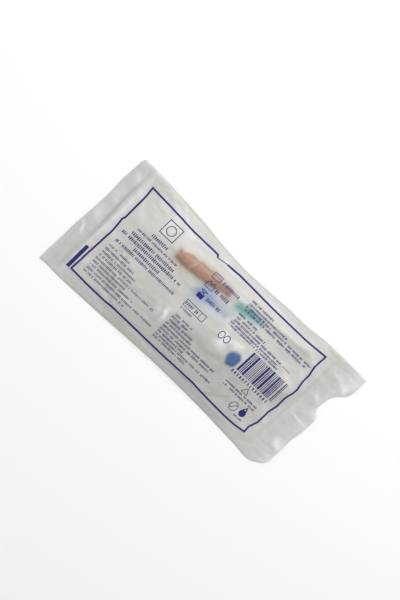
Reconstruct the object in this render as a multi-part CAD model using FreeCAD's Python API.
import FreeCAD, Part
import math
import os
from FreeCAD import Placement, Rotation, Vector

# Intravenous infusion set, sealed in its film pouch, lying flat. Millimetres, +Z up.
# Origin: middle of the pouch's box, on the surface that it rests on. +X runs along the pouch,
# towards the end where the spike points, and +Y runs across it.

# Clearances
film_gap = 0.9          # between the contents and the film over them
rest_gap = 0.1          # between a piece and what it lies on
pack_gap = 0.6          # between two pieces that lie side by side
fit_gap = 0.05          # radial, between a piece and the bore that holds it

# Film pouch
film = 0.3              # one wall of film, drawn thicker than the real one
weld = 2 * film         # two walls, welded together
left_seal = 10.5        # width of the seal band at the -X end
right_seal = 12.0       # width of the seal band at the +X end
right_flap = 10.3       # free film past the +X seal
left_slack = 17.1       # empty pouch between the -X seal and the coil
right_slack = 14.2      # empty pouch between the spike's cap and the +X seal
fold_slack = 6.65       # from the coil to the pouch's lower fold
upper_waist = 6.2       # how far the full pouch draws its upper fold in
lower_waist = 4.5       # and its lower fold

# Tubing
tube_d = 4.0
tube_grip = 5.0         # length of tube held in a socket
coil_turns = 4          # whole turns in the upper run of the coil
coil_pitch = 4.0        # from one turn to the next

# The spike and chamber lie along one line, which starts at the chamber's lower end.
line_x = -23.9
line_y = -8.2
line_yaw = 8.4          # degrees, from +X towards +Y

# Drip chamber
chamber_d = 16.0
chamber_wall = 1.0
chamber_cone = 6.0      # length of the cone at its lower end
chamber_length = 43.4
outlet_d = 6.6
outlet_length = 8.0
filter_height = 3.0
filter_wall = 0.6

# Spike moulding
skirt_d = 17.6           # also the depth of the finger wings
skirt_edge = 0.7
skirt_length = 12.0
skirt_end = 1.0         # thickness of the wall that closes the chamber
neck_d = 8.8
neck_length = 13.0
vent_along = 5.2        # from the skirt's end wall to the vent's axis
vent_d = 7.2
vent_top = 8.2          # height of the vent's rim over the spike's axis
vent_bore_d = 5.6
vent_bore_depth = 4.0
wing_thickness = 1.8
wing_width = 19.0
wing_corner = 5.0
spike_d = 5.4
spike_length = 29.0
spike_point = 9.0       # length of the slanted point
fluid_bore_d = 1.9
air_bore_d = 1.2
bore_spacing = 2.2
dropper_d = 4.0
dropper_length = 9.0

# Caps on the spike moulding
cap_wall = 0.8
spike_cap_d = 8.2
spike_cap_tip_d = 7.2
spike_cap_rim_d = 9.4
spike_cap_rim = 3.0
spike_cap_ribs = 8
cap_rib_length = 12.0
cap_rib_width = 0.7
lid_width = 9.0
lid_depth = 11.0
lid_thickness = 2.4
filter_disc = 0.8
lid_edge = 1.5          # radius round the vent cap's top
plug_wall = 0.7
band_wall = 0.9
band_height = 1.4
strap_width = 1.5
strap_spacing = 3.8

# Roller clamp
clamp_along = 0.4       # from the chamber's lower end to the clamp's
clamp_gap = 1.6         # between the spike's skirt and the clamp
clamp_length = 38.0
clamp_width = 12.0
clamp_wall = 1.6
clamp_high = 14.5       # depth of its open end
clamp_low = 11.0        # depth of its closing end
tube_gap = 0.15         # between the tube and the clamp's floor
roller_d = 10.0
roller_side_gap = 0.35
roller_start = 9.0      # from the clamp's end to the open roller's axle
roller_end = 9.0        # from the closed roller's axle to the clamp's other end
slope_margin = 5.0      # from the open roller's axle to the start of the clamp's slope
slope_run_out = 3.0     # from the closed roller's axle to the slope's end
clamp_ridges = 5
ridge_pitch = 3.0
pinch = 1.2             # gap that the closed roller leaves for the flattened tube
axle_d = 3.0
axle_gap = 0.25
roller_teeth = 24
roller_dish = 1.2       # depth of the hollow in each side of the wheel
roller_rim_wall = 1.4
tooth_depth = 0.35

# The bulb, connector and needle lie along a second line, over the coil.
bulb_x = -47.6
bulb_yaw = 6.1
bulb_d = 10.5
bulb_wall = 1.3
bulb_length = 44.0
bulb_neck_d = 6.6
bulb_neck_length = 8.0
bulb_collar_d = 8.0
bulb_collar_length = 4.0
stem_d = 4.2
stem_length = 6.5
collar_d = 8.4
collar_length = 12.0
collar_wall = 0.8
collar_ribs = 10
luer_d = 4.3            # the male cone at its thick end
luer_tip_d = 3.9
luer_length = 7.5
hub_start = 6.0         # from the bulb's end to the needle hub's base
hub_length = 22.0
hub_d = 6.4
hub_nose_d = 4.4
hub_fins = 4
needle_d = 0.82
needle_bore_d = 0.5
needle_length = 32.0    # in front of the hub
needle_bevel = 2.4
needle_cap_start = 13.0
needle_tip_gap = 1.2      # inside the cap, past the needle's tip
needle_cap_d = 7.8
needle_cap_tip_d = 5.4

# Worked out from the sizes above
tube_r = tube_d / 2
roller_travel = clamp_length - roller_start - roller_end
chamber_r = chamber_d / 2
skirt_r = skirt_d / 2
line_z = film + rest_gap + skirt_r
line_cos = math.cos(math.radians(line_yaw))
line_sin = math.sin(math.radians(line_yaw))
bulb_cos = math.cos(math.radians(bulb_yaw))
bulb_sin = math.sin(math.radians(bulb_yaw))
skirt_start = chamber_length - skirt_length
neck_start = chamber_length + skirt_end
vent_at = neck_start + vent_along
wing_at = neck_start + neck_length
spike_at = wing_at + wing_thickness
spike_tip = spike_at + spike_length
spike_cap_at = spike_at + pack_gap / 2
spike_cap_end = spike_tip + cap_wall + 1.5
vent_rim_z = line_z + vent_top
lid_top_z = vent_rim_z + lid_thickness
needle_start = bulb_length + hub_start + luer_length + 1.5
needle_end = bulb_length + hub_start + hub_length + needle_length
needle_cap_end = needle_end + needle_tip_gap + cap_wall


def on_line(along, across):
    """The place of a point given along and across the spike's line."""
    return (
        line_x + along * line_cos - across * line_sin,
        line_y + along * line_sin + across * line_cos,
    )


# The clamp lies on its side against the spike's skirt, parallel to it.
clamp_across = skirt_r + clamp_gap
clamp_z = film + rest_gap + clamp_width / 2
tube_across = clamp_wall + tube_gap + tube_r
roller_r = roller_d / 2
roller_across = clamp_wall + 2 * tube_gap + tube_d + roller_r
roller_drop = roller_across - (clamp_wall + pinch + roller_r)
roller_rim = roller_across + roller_r

# The coil is a flat racetrack of turns round the clamp and chamber.
coil_z = film + rest_gap + tube_r
coil_top_z = film + rest_gap + tube_d
hole_low = line_y - chamber_r - pack_gap / 2
rim_x, rim_y = on_line(clamp_along + roller_start, clamp_across + roller_rim)
hole_high = rim_y + pack_gap
coil_y = (hole_low + hole_high - coil_pitch / 2) / 2
coil_start_r = coil_y - hole_low - coil_pitch / 4 + tube_r
coil_low = coil_y - coil_start_r - (coil_turns + 0.25) * coil_pitch - tube_r
coil_high = coil_y + coil_start_r + (coil_turns - 0.25) * coil_pitch + tube_r
coil_left_r = coil_start_r + (coil_turns + 0.5) * coil_pitch + tube_r
coil_right_r = coil_start_r + coil_turns * coil_pitch + tube_r

# The pouch is as long and as wide as its contents and their slack need.
seal_right_x = on_line(spike_cap_end, 0)[0] + right_slack
half_length = seal_right_x + right_seal + right_flap
seal_left_x = left_seal + 0.5 - half_length
half_width = -coil_low + fold_slack + lower_waist
coil_left_x = seal_left_x + left_slack + coil_left_r
coil_right_x = on_line(wing_at, 0)[0] + wing_thickness + pack_gap - coil_start_r + 2.6

# The bulb clears the open roller's rim.
bulb_r = bulb_d / 2
bulb_y = rim_y + pack_gap + bulb_r / bulb_cos - (rim_x - bulb_x) * bulb_sin / bulb_cos
bulb_z = coil_top_z + rest_gap + bulb_r

line_place = Placement(Vector(line_x, line_y, line_z), Rotation(Vector(0, 0, 1), line_yaw))
clamp_corner = on_line(clamp_along, clamp_across)
clamp_place = Placement(
    Vector(clamp_corner[0], clamp_corner[1], clamp_z), Rotation(Vector(0, 0, 1), line_yaw)
)
bulb_place = Placement(Vector(bulb_x, bulb_y, bulb_z), Rotation(Vector(0, 0, 1), bulb_yaw))

AXIS = Vector(1, 0, 0)
ORIGIN = Vector(0, 0, 0)


def turned(profile):
    """A solid turned round the X axis from a closed outline of (along, radius) points."""
    points = [Vector(along, radius, 0) for along, radius in profile]
    face = Part.Face(Part.makePolygon(points + points[:1]))
    return face.revolve(ORIGIN, AXIS, 360)


def rod(start, end, diameter, across=0.0, up=0.0):
    """A round rod along X, from start to end."""
    return Part.makeCylinder(diameter / 2, end - start, Vector(start, across, up), AXIS)


def round_edges(shape, radius, wanted):
    """The shape with a fillet on each edge that wanted accepts."""
    edges = [e for e in shape.Edges if wanted(e)]
    return shape.makeFillet(radius, edges)


def is_ring(edge, at, radius):
    """Whether an edge is a full circle round the X axis at this place and radius."""
    curve = edge.Curve
    if not isinstance(curve, Part.Circle):
        return False
    return abs(curve.Center.x - at) < 0.01 and abs(curve.Radius - radius) < 0.01


def around(shape, count, turn_offset=0.0):
    """Copies of a shape, evenly spaced round the X axis."""
    copies = []
    for k in range(count):
        copy = shape.copy()
        copy.rotate(ORIGIN, AXIS, turn_offset + 360.0 * k / count)
        copies.append(copy)
    return copies


# Tubing


def tube(points):
    """A plain tube along a route: straight runs joined by tangent arcs. Prints the arcs' radii."""
    route = [Vector(*p) for p in points]
    runs = []
    radii = []
    length = 0.0
    last = route[0]
    for before, corner, after in zip(route, route[1:], route[2:]):
        back, ahead = before - corner, after - corner
        setback = 0.45 * min(back.Length, ahead.Length)
        back.normalize()
        ahead.normalize()
        turn = math.pi - back.getAngle(ahead)
        radius = setback / math.tan(turn / 2)
        start, end = corner + back * setback, corner + ahead * setback
        runs.append(disc(last, start - last).extrude(start - last))
        axis = ahead.cross(back)
        inward = axis.cross(back).normalize()
        centre = start - inward * radius
        runs.append(disc(start, back).revolve(centre, axis, math.degrees(turn)))
        radii.append(round(radius, 1))
        length += (start - last).Length + radius * turn
        last = end
    runs.append(disc(last, route[-1] - last).extrude(route[-1] - last))
    length += (route[-1] - last).Length
    solid = runs[0].fuse(runs[1:])
    print("  arc radii", radii)
    share = solid.Volume / (math.pi * tube_r**2 * length)
    print("  tube length", round(length, 1), "volume share", round(share, 4), "solids", len(solid.Solids))
    return solid


def disc(centre, normal):
    """The tube's round section at a place on its route."""
    return Part.Face(Part.Wire(Part.Circle(centre, normal, tube_r).toShape()))


def beside_line(along_x, along_y, z):
    """A place on the tube's route, measured from the start of the spike's line."""
    return (line_x + along_x, line_y + along_y, z)


def chamber_to_coil():
    """The tube from the chamber, round a loose loop, through the clamp and into the coil."""
    socket = on_line(tube_grip - outlet_length, 0)
    outlet = on_line(-15.4, 0)
    clamp_in = on_line(clamp_along - 4.5, clamp_across + tube_across)
    clamp_out = on_line(clamp_along + clamp_length + 3.0, clamp_across + tube_across)
    run_y = coil_y - coil_start_r - coil_pitch / 4
    return (
        (socket[0], socket[1], line_z),
        (outlet[0], outlet[1], line_z),
        beside_line(-26.3, -6.2, 7.6),
        beside_line(-37.1, -5.4, 6.8),
        beside_line(-44.6, 3.3, 6.6),
        beside_line(-43.9, 14.8, 6.6),
        beside_line(-35.3, 21.8, 6.6),
        beside_line(-23.5, 21.4, 6.6),
        beside_line(-12.5, 17.0, 6.5),
        (clamp_in[0], clamp_in[1], clamp_z),
        (clamp_out[0], clamp_out[1], clamp_z),
        beside_line(47.9, 16.2, 4.9),
        beside_line(51.9, 9.8, 2.7),
        beside_line(52.1, 1.6, coil_z),
        beside_line(47.9, -5.7, coil_z),
        (line_x + 40.2, run_y + 1.4, coil_z),
        (line_x + 31.7, run_y, coil_z),
    )


def coil_to_bulb():
    """The tube from the coil's outer turn, up over the coil and into the bulb."""
    edge_x = coil_left_x - coil_left_r + tube_r
    inside = (tube_grip * bulb_cos, tube_grip * bulb_sin)
    ahead = (8.4 * bulb_cos, 8.4 * bulb_sin)
    return (
        (edge_x + 0.4, line_y + 2.8, coil_z),
        (edge_x - 0.1, line_y + 11.6, 3.4),
        (edge_x + 2.0, line_y + 19.8, 6.0),
        beside_line(-41.3, 26.4, 8.6),
        (bulb_x - ahead[0], bulb_y - ahead[1], bulb_z),
        (bulb_x + inside[0], bulb_y + inside[1], bulb_z),
    )


def racetrack(left_x, right_x, mid_y, radius, z):
    """A closed wire of two half circles and the straight runs between them."""
    top_left = Vector(left_x, mid_y + radius, z)
    top_right = Vector(right_x, mid_y + radius, z)
    low_left = Vector(left_x, mid_y - radius, z)
    low_right = Vector(right_x, mid_y - radius, z)
    left = Part.Arc(low_left, Vector(left_x - radius, mid_y, z), top_left)
    right = Part.Arc(top_right, Vector(right_x + radius, mid_y, z), low_right)
    top = Part.LineSegment(top_left, top_right)
    low = Part.LineSegment(low_right, low_left)
    return Part.Wire([left.toShape(), top.toShape(), right.toShape(), low.toShape()])


def coil():
    """The outer shape of the coil: a flat ring, wider where it holds one turn more."""
    base = coil_z - tube_r
    hole_r = (hole_high - hole_low) / 2
    outer_r = (coil_high - coil_low) / 2
    hole_left = coil_left_x - (coil_start_r + coil_pitch / 2 - tube_r) + hole_r
    hole_right = coil_right_x + (coil_start_r + coil_pitch - tube_r) - hole_r
    outer_left = coil_left_x - coil_left_r + outer_r
    outer_right = coil_right_x + coil_right_r - outer_r
    outer = racetrack(outer_left, outer_right, (coil_high + coil_low) / 2, outer_r, base)
    hole = racetrack(hole_left, hole_right, (hole_high + hole_low) / 2, hole_r, base)
    rise = Vector(0, 0, tube_d)
    ring = Part.Face(outer).extrude(rise).cut(Part.Face(hole).extrude(rise))
    level = [e for e in ring.Edges if e.BoundBox.ZLength < 0.01]
    return ring.makeChamfer(0.3 * tube_d, level)


# Drip chamber, its filter, and the spike moulding with its caps


def drip_chamber():
    outlet_r = outlet_d / 2
    bore_r = tube_r + fit_gap
    inner_r = chamber_r - chamber_wall
    profile = (
        (-outlet_length, bore_r),
        (-outlet_length, outlet_r),
        (0, outlet_r),
        (chamber_cone, chamber_r),
        (chamber_length, chamber_r),
        (chamber_length, inner_r),
        (chamber_cone + 1.0, inner_r),
        (1.2, 1.4),
        (tube_grip - outlet_length + 0.1, 1.4),
        (tube_grip - outlet_length + 0.1, bore_r),
    )
    body = turned(profile)
    body = round_edges(body, 1.6, lambda e: is_ring(e, chamber_cone, chamber_r))
    return round_edges(body, 1.0, lambda e: is_ring(e, 0, outlet_r))


def fluid_filter():
    """A cup with a mesh floor that sits in the chamber's lower end."""
    start = chamber_cone + 1.0 + rest_gap
    outer_r = chamber_r - chamber_wall - fit_gap
    profile = (
        (start, 0),
        (start, outer_r - 1.0),
        (start + 0.8, outer_r),
        (start + filter_height, outer_r),
        (start + filter_height, outer_r - filter_wall),
        (start + filter_wall + 0.6, outer_r - filter_wall - 0.6),
        (start + filter_wall, 0),
    )
    return turned(profile)


def spike():
    """One moulding: skirt, drop former, neck, vent, finger wings and spike."""
    bore_r = chamber_r + fit_gap
    profile = (
        (skirt_start, bore_r),
        (skirt_start, skirt_r),
        (neck_start, skirt_r),
        (neck_start, neck_d / 2),
        (spike_at, neck_d / 2),
        (spike_at, spike_d / 2),
        (spike_tip - spike_point, spike_d / 2 - 0.2),
        (spike_tip, spike_d / 2 - 0.5),
        (spike_tip, 0),
        (chamber_length - dropper_length, 0),
        (chamber_length - dropper_length, dropper_d / 2 - 0.5),
        (chamber_length, dropper_d / 2),
        (chamber_length, bore_r),
    )
    body = turned(profile)
    body = round_edges(body, skirt_edge, lambda e: is_ring(e, neck_start, skirt_r))
    vent = Part.makeCylinder(vent_d / 2, vent_top, Vector(vent_at, 0, 0))
    wings = finger_wings()
    body = body.fuse([vent, wings] + grip_ribs()).removeSplitter()
    return body.cut(spike_hollows())


def finger_wings():
    """The flat oval that the fingers push on, as deep as the skirt so that both lie level."""
    plate = Part.makeBox(wing_thickness, wing_width, skirt_d, Vector(wing_at, -wing_width / 2, -skirt_r))
    return round_edges(plate, wing_corner, lambda e: abs(e.BoundBox.XLength - wing_thickness) < 0.01)


def grip_ribs():
    """Thin webs that brace the wings on the neck."""
    height = wing_width / 2 - 2.5
    web = Part.makePolygon(
        [
            Vector(wing_at - 4.5, 0, -0.5),
            Vector(wing_at, height, -0.5),
            Vector(wing_at, 0, -0.5),
            Vector(wing_at - 4.5, 0, -0.5),
        ]
    )
    web = Part.Face(web).extrude(Vector(0, 0, 1.0))
    return around(web, 2)


def spike_hollows():
    """The fluid and air channels, the vent's seat and the slanted point."""
    side = bore_spacing / 2
    fluid = rod(chamber_length - dropper_length - 1, spike_tip + 1, fluid_bore_d, up=-side)
    air = rod(vent_at, spike_tip + 1, air_bore_d, up=side)
    seat_z = vent_top - vent_bore_depth
    seat = Part.makeCylinder(vent_bore_d / 2, vent_bore_depth + 1, Vector(vent_at, 0, seat_z))
    drop = Part.makeCylinder(air_bore_d / 2, seat_z - side + 1, Vector(vent_at, 0, side))
    slant = Part.makePolygon(
        [
            Vector(spike_tip - spike_point, 0, spike_d),
            Vector(spike_tip - spike_point, 0, spike_d / 2),
            Vector(spike_tip + 1, 0, -spike_d / 2 - 0.2),
            Vector(spike_tip + 1, 0, spike_d),
            Vector(spike_tip - spike_point, 0, spike_d),
        ]
    )
    wedge = Part.Face(slant).extrude(Vector(0, 2 * spike_d, 0))
    wedge.translate(Vector(0, -spike_d, 0))
    return [fluid, air, seat, drop, wedge]


def spike_cap():
    """The sleeve that keeps the spike sterile, pushed up to the wings."""
    outer_r, tip_r, rim_r = spike_cap_d / 2, spike_cap_tip_d / 2, spike_cap_rim_d / 2
    profile = (
        (spike_cap_at, outer_r - cap_wall),
        (spike_cap_at, rim_r),
        (spike_cap_at + spike_cap_rim, rim_r),
        (spike_cap_at + spike_cap_rim + 0.6, outer_r),
        (spike_cap_end, tip_r),
        (spike_cap_end, 0),
        (spike_cap_end - cap_wall, 0),
        (spike_cap_end - cap_wall, tip_r - cap_wall),
    )
    sleeve = turned(profile)
    sleeve = round_edges(sleeve, 1.2, lambda e: is_ring(e, spike_cap_end, tip_r))
    start = spike_cap_at + spike_cap_rim
    foot = Vector(start, -cap_rib_width / 2, outer_r - cap_wall + 0.2)
    rib = Part.makeBox(cap_rib_length, cap_rib_width, 1.0, foot)
    return sleeve.fuse(around(rib, spike_cap_ribs, 22.5)).removeSplitter()


def vent_filter():
    """The disc that lets air in and keeps germs out, on the floor of the vent's seat."""
    seat_z = vent_top - vent_bore_depth
    return Part.makeCylinder(
        vent_bore_d / 2 - fit_gap, filter_disc, Vector(vent_at, 0, seat_z + fit_gap)
    )


def vent_cap():
    """The flap that shuts the vent: an egg-shaped lid, its plug, and two straps to a band."""
    lid_z = vent_top + fit_gap
    oval = Part.Ellipse(Vector(vent_at, lid_depth / 2, lid_z), Vector(vent_at + lid_width / 2, 0, lid_z),
                        Vector(vent_at, 0, lid_z)).toShape()
    lid = Part.Face(Part.Wire(oval)).extrude(Vector(0, 0, lid_thickness - fit_gap))
    top = lid_z + lid_thickness - fit_gap
    lid = round_edges(lid, lid_edge, lambda e: e.BoundBox.ZMin > top - 0.01)
    plug_depth = vent_bore_depth - filter_disc - 1.0
    plug_r = vent_bore_d / 2 - fit_gap
    plug = Part.makeCylinder(plug_r, plug_depth + 0.5, Vector(vent_at, 0, lid_z - plug_depth))
    hollow = Part.makeCylinder(plug_r - plug_wall, plug_depth, Vector(vent_at, 0, lid_z - plug_depth))
    band_low = neck_d / 2 + 0.2
    band_r = vent_d / 2 + fit_gap
    band = Part.makeCylinder(band_r + band_wall, band_height, Vector(vent_at, 0, band_low))
    band_hole = Part.makeCylinder(band_r, band_height, Vector(vent_at, 0, band_low))
    straps = []
    for side in (-strap_spacing / 2, strap_spacing / 2):
        corner = Vector(vent_at + side - strap_width / 2, -band_r - 1.7, band_low)
        straps.append(Part.makeBox(strap_width, 1.2, lid_z + 0.8 - band_low, corner))
    cap = lid.fuse([plug, band] + straps).removeSplitter()
    return cap.cut([hollow, band_hole])


# Roller clamp


def slot_shape(width, length_z):
    """A slot along the roller's travel, through both side walls."""
    half = width / 2
    rise = math.degrees(math.atan2(-roller_drop, roller_travel))
    run = math.hypot(roller_drop, roller_travel)
    first = Part.makeCylinder(half, length_z, Vector(0, 0, -length_z / 2))
    last = Part.makeCylinder(half, length_z, Vector(run, 0, -length_z / 2))
    middle = Part.makeBox(run, width, length_z, Vector(0, -half, -length_z / 2))
    slot = first.fuse([last, middle])
    slot.rotate(ORIGIN, Vector(0, 0, 1), rise)
    slot.translate(Vector(roller_start, roller_across, 0))
    return slot


def clamp_housing():
    """A trough that holds the tube on its floor, with a slanted slot in each side wall."""
    slope_start = roller_start + slope_margin
    slope_end = roller_start + roller_travel + slope_run_out
    side = Part.makePolygon(
        [
            Vector(0, 0, 0),
            Vector(clamp_length, 0, 0),
            Vector(clamp_length, clamp_low - 3.0, 0),
            Vector(clamp_length - 2.0, clamp_low, 0),
            Vector(slope_end, clamp_low + 0.2, 0),
            Vector(slope_start, clamp_high, 0),
            Vector(2.5, clamp_high, 0),
            Vector(0, clamp_high - 3.5, 0),
            Vector(0, 0, 0),
        ]
    )
    half = clamp_width / 2
    body = Part.Face(side).extrude(Vector(0, 0, clamp_width))
    body.translate(Vector(0, 0, -half))
    body = round_edges(body, 1.0, lambda e: abs(e.BoundBox.ZLength - clamp_width) < 0.01)
    inner = clamp_width - 2 * clamp_wall
    trough = Part.makeBox(
        clamp_length - 2 * clamp_wall, clamp_high, inner, Vector(clamp_wall, clamp_wall, -inner / 2)
    )
    tube_way = rod(-1, clamp_length + 1, tube_d + 2 * tube_gap, across=tube_across)
    slot = slot_shape(axle_d + 2 * axle_gap, clamp_width + 2)
    ridges = []
    for k in range(clamp_ridges):
        x = clamp_length / 2 + (k - (clamp_ridges - 1) / 2) * ridge_pitch
        ridges.append(Part.makeBox(0.8, 0.6, clamp_width - 3.0, Vector(x, -0.5, 1.5 - half)))
    return body.fuse(ridges).removeSplitter().cut([trough, tube_way, slot])


def clamp_roller():
    """The knurled wheel, with the two axle stubs that ride in the slots."""
    width = clamp_width - 2 * clamp_wall - 2 * roller_side_gap
    points = []
    for k in range(2 * roller_teeth):
        radius = roller_r - (tooth_depth if k % 2 else 0.0)
        turn = math.pi * k / roller_teeth
        points.append(Vector(radius * math.cos(turn), radius * math.sin(turn), -width / 2))
    wheel = Part.Face(Part.makePolygon(points + points[:1])).extrude(Vector(0, 0, width))
    dish_r = roller_r - roller_rim_wall
    dish = Part.makeCylinder(dish_r, roller_dish, Vector(0, 0, width / 2 - roller_dish))
    far_dish = Part.makeCylinder(dish_r, roller_dish, Vector(0, 0, -width / 2))
    axle = Part.makeCylinder(axle_d / 2, clamp_width, Vector(0, 0, -clamp_width / 2))
    roller = wheel.cut([dish, far_dish]).fuse(axle).removeSplitter()
    roller.translate(Vector(roller_start, roller_across, 0))
    return roller


# Bulb, connector and needle


def latex_bulb():
    neck_at = bulb_length - bulb_neck_length
    inner_r = bulb_r - bulb_wall
    bore_r = tube_r + fit_gap
    stem_r = stem_d / 2 + fit_gap
    profile = (
        (0, bore_r),
        (0, bulb_collar_d / 2),
        (bulb_collar_length, bulb_collar_d / 2),
        (bulb_collar_length + 2.5, bulb_r),
        (neck_at - 5.0, bulb_r - 0.2),
        (neck_at, bulb_neck_d / 2),
        (bulb_length, bulb_neck_d / 2 + 0.15),
        (bulb_length, stem_r),
        (neck_at, stem_r),
        (neck_at - 5.0, inner_r),
        (bulb_collar_length + 3.5, inner_r),
        (tube_grip + 0.2, bore_r),
    )
    body = turned(profile)
    body = round_edges(body, 2.0, lambda e: is_ring(e, bulb_collar_length + 2.5, bulb_r))
    body = round_edges(body, 2.5, lambda e: is_ring(e, neck_at - 5.0, bulb_r - 0.2))
    body = round_edges(body, 1.5, lambda e: is_ring(e, neck_at, bulb_neck_d / 2))
    return round_edges(body, 0.6, lambda e: is_ring(e, 0, bulb_collar_d / 2))


def luer_connector():
    """The stem in the bulb's neck, the male cone, and the locking collar round it."""
    end = bulb_length
    wall_end = end + 1.4
    collar_r = collar_d / 2
    profile = (
        (end - stem_length, 1.2),
        (end - stem_length, stem_d / 2 - 0.3),
        (end - stem_length + 1.0, stem_d / 2),
        (end + rest_gap, stem_d / 2),
        (end + rest_gap, collar_r - 0.4),
        (wall_end, collar_r),
        (end + collar_length, collar_r - 0.2),
        (end + collar_length, collar_r - collar_wall),
        (wall_end, collar_r - collar_wall),
        (wall_end, luer_d / 2),
        (end + hub_start + luer_length - 1.0, luer_tip_d / 2),
        (end + hub_start + luer_length - 1.0, 1.0),
        (wall_end, 1.2),
    )
    body = turned(profile)
    rib = Part.makeBox(collar_length - 3.5, 0.6, 0.9, Vector(wall_end + 0.6, -0.3, collar_r - 0.6))
    return body.fuse(around(rib, collar_ribs)).removeSplitter()


def needle_hub():
    """The coloured hub: a female cone behind, four fins, and the nose that holds the needle."""
    base = bulb_length + hub_start
    end = base + hub_length
    bore_end = base + luer_length + 0.5
    hub_r = hub_d / 2
    profile = (
        (base, luer_d / 2 + fit_gap),
        (base, hub_r),
        (base + 1.2, hub_r),
        (base + 2.0, hub_r - 0.5),
        (base + 9.0, hub_r - 0.6),
        (base + 12.0, hub_nose_d / 2),
        (end, hub_nose_d / 2 - 0.5),
        (end, needle_d / 2 + 0.01),
        (bore_end, needle_d / 2 + 0.01),
        (bore_end, luer_tip_d / 2 + 0.1),
    )
    body = turned(profile)
    fin_r = needle_cap_d / 2 - cap_wall - 0.3
    fin_low = hub_nose_d / 2 - 0.9
    fin = Part.makeBox(7.5, 0.8, fin_r - fin_low, Vector(base + 8.5, -0.4, fin_low))
    return body.fuse(around(fin, hub_fins, 45)).removeSplitter()


def needle_cannula():
    """The bevelled steel tube."""
    end = needle_end
    outer = rod(needle_start, end, needle_d)
    bore = rod(needle_start - 1, end + 1, needle_bore_d)
    bevel = Part.makePolygon(
        [
            Vector(end - needle_bevel, -needle_d, needle_d / 2),
            Vector(end + 0.1, -needle_d, -needle_d / 2),
            Vector(end + 0.1, -needle_d, needle_d),
            Vector(end - needle_bevel, -needle_d, needle_d),
            Vector(end - needle_bevel, -needle_d, needle_d / 2),
        ]
    )
    return outer.cut([bore, Part.Face(bevel).extrude(Vector(0, 2 * needle_d, 0))])


def needle_cap():
    """The long tapered sheath over the needle, ribbed where it grips the hub."""
    start = bulb_length + needle_cap_start
    end = needle_cap_end
    outer_r, tip_r = needle_cap_d / 2, needle_cap_tip_d / 2
    profile = (
        (start, outer_r - cap_wall),
        (start, outer_r + 0.3),
        (start + 1.5, outer_r + 0.3),
        (start + 2.0, outer_r),
        (end, tip_r),
        (end, 0),
        (end - cap_wall, 0),
        (end - cap_wall, tip_r - cap_wall),
    )
    sheath = turned(profile)
    sheath = round_edges(sheath, 1.2, lambda e: is_ring(e, end, tip_r))
    rib = Part.makeBox(10.0, 0.6, 0.8, Vector(start + 2.0, -0.3, outer_r - 0.65))
    return sheath.fuse(around(rib, 6)).removeSplitter()


# Film pouch. Its wall is a sheet stretched over the contents: a net of heights that is pulled
# level between its neighbours and held up by what lies under it.

net_x = 52              # spans of the net along the pouch
net_y = 32              # and across it
net_crowding = 0.5      # how much closer its points stand at the folds than in the middle
net_passes = 160
net_pull = 1.6          # how far each pass carries a point towards its neighbours' level
net_easing = 2          # passes that soften the net's creases

# Inset of each fold from the pouch's greatest width, at places along it from -1 to 1
upper_fold = (
    (-1.0, 0.5), (-0.9, 0.0), (-0.64, 1.3), (-0.45, 2.7), (-0.26, 5.0), (-0.06, upper_waist),
    (0.13, 5.5), (0.33, 4.4), (0.47, 4.5), (0.62, 2.7), (0.8, 2.3), (1.0, 2.6),
)
lower_fold = (
    (-1.0, 3.6), (-0.84, 2.7), (-0.55, 3.2), (-0.26, 4.2), (-0.06, lower_waist), (0.13, 4.3),
    (0.33, 3.7), (0.52, 2.7), (0.72, 1.4), (0.82, 0.2), (1.0, 0.0),
)


def eased(points, at):
    """A smooth curve through (place, value) points, read at one place."""
    last = len(points) - 1
    k = 0
    while k < last - 1 and at > points[k + 1][0]:
        k += 1
    (x0, y0), (x1, y1) = points[k], points[k + 1]
    xa, ya = points[max(k - 1, 0)]
    xb, yb = points[min(k + 2, last)]
    share = min(max((at - x0) / (x1 - x0), 0.0), 1.0)
    slope0 = (y1 - ya) / (x1 - xa) * (x1 - x0)
    slope1 = (yb - y0) / (xb - x0) * (x1 - x0)
    s2, s3 = share**2, share**3
    start = (2 * s3 - 3 * s2 + 1) * y0 + (s3 - 2 * s2 + share) * slope0
    return start + (3 * s2 - 2 * s3) * y1 + (s3 - s2) * slope1


def upper_y(x):
    return half_width - eased(upper_fold, x / half_length)


def lower_y(x):
    return eased(lower_fold, x / half_length) - half_width


def bar(place, start, end, radius):
    """A support for the film: a round bar along a line's axis."""
    a, b = place.multVec(Vector(start, 0, 0)), place.multVec(Vector(end, 0, 0))
    return (a, b, radius + film_gap)


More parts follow.
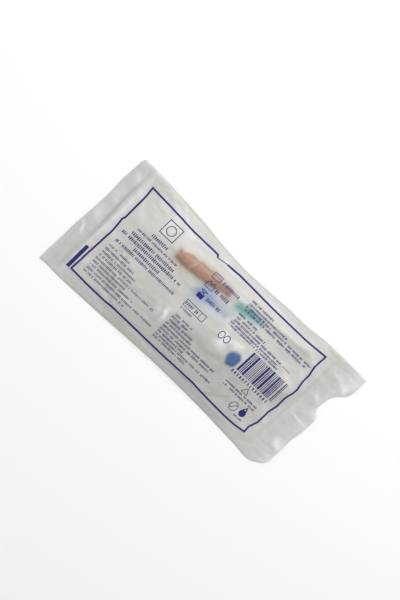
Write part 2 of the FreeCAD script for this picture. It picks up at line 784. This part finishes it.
def film_supports():
    """Round bars that stand for the tops of the contents."""
    bars = [
        bar(line_place, 2.0, neck_start - 2.0, skirt_r - 0.6),
        bar(line_place, skirt_start, neck_start, skirt_r),
        bar(line_place, spike_cap_at, spike_cap_end - 2.0, spike_cap_rim_d / 2),
        bar(line_place, -outlet_length, 0, outlet_d / 2),
        bar(bulb_place, 2.0, bulb_length - bulb_neck_length, bulb_r),
        bar(bulb_place, bulb_length - 8, bulb_length + collar_length, collar_d / 2),
        bar(bulb_place, bulb_length, needle_cap_end - 3.0, needle_cap_d / 2 + 0.2),
    ]
    for across in (wing_corner - wing_width / 2, wing_width / 2 - wing_corner):
        ends = [Vector(x, across, skirt_r - wing_corner) for x in (wing_at - 1.0, wing_at + 3.0)]
        a, b = (line_place.multVec(p) for p in ends)
        bars.append((a, b, wing_corner + film_gap))
    lid = line_place.multVec(Vector(vent_at, 0, 0))
    lid.z = lid_top_z - 4.0
    for across in (-2.0, 2.0):
        middle = lid + Vector(-across * line_sin, across * line_cos, 0)
        bars.append((middle, middle, 5.2 + film_gap))
    for across in (1.5, clamp_low - 2.0):
        ends = [Vector(x, across, clamp_width / 2 - 3.0) for x in (2.0, clamp_length - 2.0)]
        a, b = (clamp_place.multVec(p) for p in ends)
        bars.append((a, b, 3.0 + film_gap))
    wheel = clamp_place.multVec(Vector(roller_start, roller_across, 0))
    bars.append((wheel, wheel, roller_r + film_gap))
    for route in (chamber_to_coil()[1:10], chamber_to_coil()[10:13], coil_to_bulb()[1:]):
        for p, q in zip(route, route[1:]):
            bars.append((Vector(*p), Vector(*q), tube_r + film_gap))
    return bars


def bar_height(bars, x, y):
    """The highest level of the bars over one point, or the coil's."""
    best = 0.0
    for a, b, radius in bars:
        dx, dy = b.x - a.x, b.y - a.y
        long2 = dx * dx + dy * dy
        share = 0.0
        if long2 > 0:
            share = min(max(((x - a.x) * dx + (y - a.y) * dy) / long2, 0.0), 1.0)
        gap2 = (x - a.x - share * dx) ** 2 + (y - a.y - share * dy) ** 2
        if gap2 < radius * radius:
            best = max(best, a.z + share * (b.z - a.z) + math.sqrt(radius * radius - gap2))
    return max(best, coil_height(x, y))


def coil_height(x, y):
    """The level that the film needs over the coil's turns."""
    outer_r = (coil_high - coil_low) / 2
    left = coil_left_x - coil_left_r + outer_r
    right = coil_right_x + coil_right_r - outer_r
    nearest = min(max(x, left), right)
    away = math.hypot(x - nearest, y - (coil_high + coil_low) / 2)
    inset = outer_r - away
    if inset < -film_gap or inset > (coil_turns + 1) * coil_pitch:
        return 0.0
    edge = min(inset + film_gap, tube_r)
    round_off = tube_r - math.sqrt(max(tube_r**2 - (tube_r - edge) ** 2, 0.0))
    return coil_top_z + film_gap - round_off


def crowded(share):
    """A share of the pouch's width, drawn towards the nearer fold."""
    return share - net_crowding * math.sin(2 * math.pi * share) / (2 * math.pi)


def stretched_net():
    """Points of the pouch's upper wall, outside: rows along X of columns across."""
    bars = film_supports()
    xs = [seal_left_x + (seal_right_x - seal_left_x) * i / net_x for i in range(net_x + 1)]
    rows = []
    for x in xs:
        low, high = lower_y(x), upper_y(x)
        rows.append([(x, low + (high - low) * crowded(j / net_y)) for j in range(net_y + 1)])
    floor = [[max(bar_height(bars, x, y) + film, weld) for x, y in row] for row in rows]
    level = [[weld] * (net_y + 1) for _ in rows]
    for _ in range(net_passes):
        for i in range(1, net_x):
            along = 1 / (xs[1] - xs[0]) ** 2
            for j in range(1, net_y):
                below, above = rows[i][j][1] - rows[i][j - 1][1], rows[i][j + 1][1] - rows[i][j][1]
                down, up = 2 / (below * (below + above)), 2 / (above * (below + above))
                mean = along * (level[i - 1][j] + level[i + 1][j])
                mean += down * level[i][j - 1] + up * level[i][j + 1]
                mean /= 2 * along + down + up
                pulled = level[i][j] + net_pull * (mean - level[i][j])
                level[i][j] = max(pulled, floor[i][j])
    for _ in range(net_easing):
        level = eased_net(level)
    return [[Vector(x, y, level[i][j]) for j, (x, y) in enumerate(row)] for i, row in enumerate(rows)]


def eased_net(level):
    """The levels, each inner one drawn halfway to the mean of the four next to it."""
    eased_rows = [row[:] for row in level]
    for i in range(1, len(level) - 1):
        for j in range(1, len(level[0]) - 1):
            around_it = level[i - 1][j] + level[i + 1][j] + level[i][j - 1] + level[i][j + 1]
            eased_rows[i][j] = (level[i][j] + around_it / 4) / 2
    return eased_rows


def under_surface(net):
    """The net's inner face: each point moved down so that the wall keeps its thickness."""
    inner = []
    for i in range(1, len(net) - 1):
        row = []
        for j in range(len(net[0])):
            here = net[i][j]
            before, after = net[i][max(j - 1, 0)], net[i][min(j + 1, len(net[0]) - 1)]
            slope_y = (after.z - before.z) / (after.y - before.y)
            slope_x = (net[i + 1][j].z - net[i - 1][j].z) / (net[i + 1][j].x - net[i - 1][j].x)
            drop = film * math.sqrt(1 + slope_x**2 + slope_y**2)
            row.append(Vector(here.x, here.y, here.z - drop))
        inner.append(row)
    side = 0.35
    for row in inner:
        row[0] = row[0] + (row[1] - row[0]) * side
        row[-1] = row[-1] + (row[-2] - row[-1]) * side
        row[0].z = max(row[0].z, film + 0.1)
        row[-1].z = max(row[-1].z, film + 0.1)
    return inner


def under_skin(net, base_z):
    """The solid between a net of points and a level plane."""
    surface = Part.BSplineSurface()
    surface.interpolate(net)
    skin = surface.toShape()
    feet, walls = [], []
    for rim in skin.Edges:
        curve = rim.Curve.copy()
        for k, pole in enumerate(curve.getPoles()):
            curve.setPole(k + 1, Vector(pole.x, pole.y, base_z))
        feet.append(curve.toShape())
        walls.append(Part.makeRuledSurface(rim, feet[-1]))
    base = Part.Face(Part.Wire(Part.__sortEdges__(feet)))
    shell = Part.makeShell([skin, base] + walls)
    shell.sewShape()
    return Part.makeSolid(shell)


def edge_run(points):
    """A smooth edge through points on the pouch's rim."""
    curve = Part.BSplineCurve()
    curve.interpolate([Vector(x, y, 0) for x, y in points])
    return curve.toShape()


def end_tab(run, x, low, high):
    """A flat welded end, bounded by the seal's inner edge and a run of points round the cut end."""
    edges = [Part.makeLine(Vector(x, high, 0), Vector(*run[0][0], 0))]
    for stretch in run:
        if len(stretch) == 2:
            edges.append(Part.makeLine(Vector(*stretch[0], 0), Vector(*stretch[1], 0)))
        else:
            edges.append(edge_run(stretch))
    edges.append(Part.makeLine(Vector(*run[-1][-1], 0), Vector(x, low, 0)))
    edges.append(Part.makeLine(Vector(x, low, 0), Vector(x, high, 0)))
    return Part.Face(Part.Wire(edges)).extrude(Vector(0, 0, weld))


def left_tab():
    x, end, w = seal_left_x, -half_length, half_width
    cut = ((end + 2.7, w - 0.6), (end + 1.5, w - 16), (end + 1.7, w - 32), (end + 1.2, 8 - w), (end, 4.4 - w))
    return end_tab((cut, (cut[-1], (end + 0.6, 3.6 - w))), x, lower_y(x), upper_y(x))


def right_tab():
    """The +X end, whose free flap is curled back in the middle and dog-eared at one corner."""
    x, end, w = seal_right_x, half_length, half_width
    corner = ((end - 0.4, w - 2.6), (end, w - 3.6))
    curl = (
        (end, w - 3.6), (end - 0.3, w - 14.5), (end - 4.3, w - 22.5), (end - 8.3, w - 31.5),
        (end - 9.1, w - 38.5), (end - 8.6, w - 41.6),
    )
    step = (curl[-1], (end - 6.3, w - 42.6), (end - 4.4, w - 46), (end - 4.1, w - 54.5), (end - 4.9, w - 68),
            (end - 5.0, 9.0 - w))
    dog_ear = (
        step[-1], (end - 7.3, 6.0 - w), (end - 12.3, 1.5 - w), (end - 15.3, 0.2 - w), (end - 18.0, -w),
    )
    return end_tab((corner, curl, step, dog_ear), x, lower_y(x), upper_y(x))


def pouch():
    """One lay-flat film tube, welded shut at both ends, hollow round its contents."""
    net = stretched_net()
    body = under_skin(net, 0.0)
    shell = body.fuse([left_tab(), right_tab()]).removeSplitter()
    return shell.cut(under_skin(under_surface(net), film))


def roller_direction():
    """Which way the roller slides when it closes, as a unit vector in the part's frame."""
    run = Vector(roller_travel, -roller_drop, 0).normalize()
    return Rotation(Vector(0, 0, 1), line_yaw).multVec(run)


def placed(make, place):
    """A piece made along its own line, moved to its place in the pouch."""
    solid = make().Solids[0]
    solid.Placement = place.multiply(solid.Placement)
    return solid


def build():
    pieces = {
        "pouch": pouch(),
        "tubing_upper": tube(chamber_to_coil()),
        "tubing_coil": coil(),
        "tubing_tail": tube(coil_to_bulb()),
    }
    for make in (drip_chamber, fluid_filter, spike, spike_cap, vent_filter, vent_cap):
        pieces[make.__name__] = placed(make, line_place)
    for make in (clamp_housing, clamp_roller):
        pieces[make.__name__] = placed(make, clamp_place)
    for make in (latex_bulb, luer_connector, needle_hub, needle_cannula, needle_cap):
        pieces[make.__name__] = placed(make, bulb_place)
    return pieces


def main():
    os.makedirs("parts", exist_ok=True)
    for name, shape in build().items():
        solid = shape.Solids[0]
        solid.exportStep("parts/" + name + ".step")
        print(name, len(shape.Solids), "valid", solid.isValid(), round(solid.Volume, 1))
    slide = roller_direction()
    print("roller slides along", [round(c, 6) for c in slide])
    print("by", round(math.hypot(roller_travel, roller_drop), 3))


main()
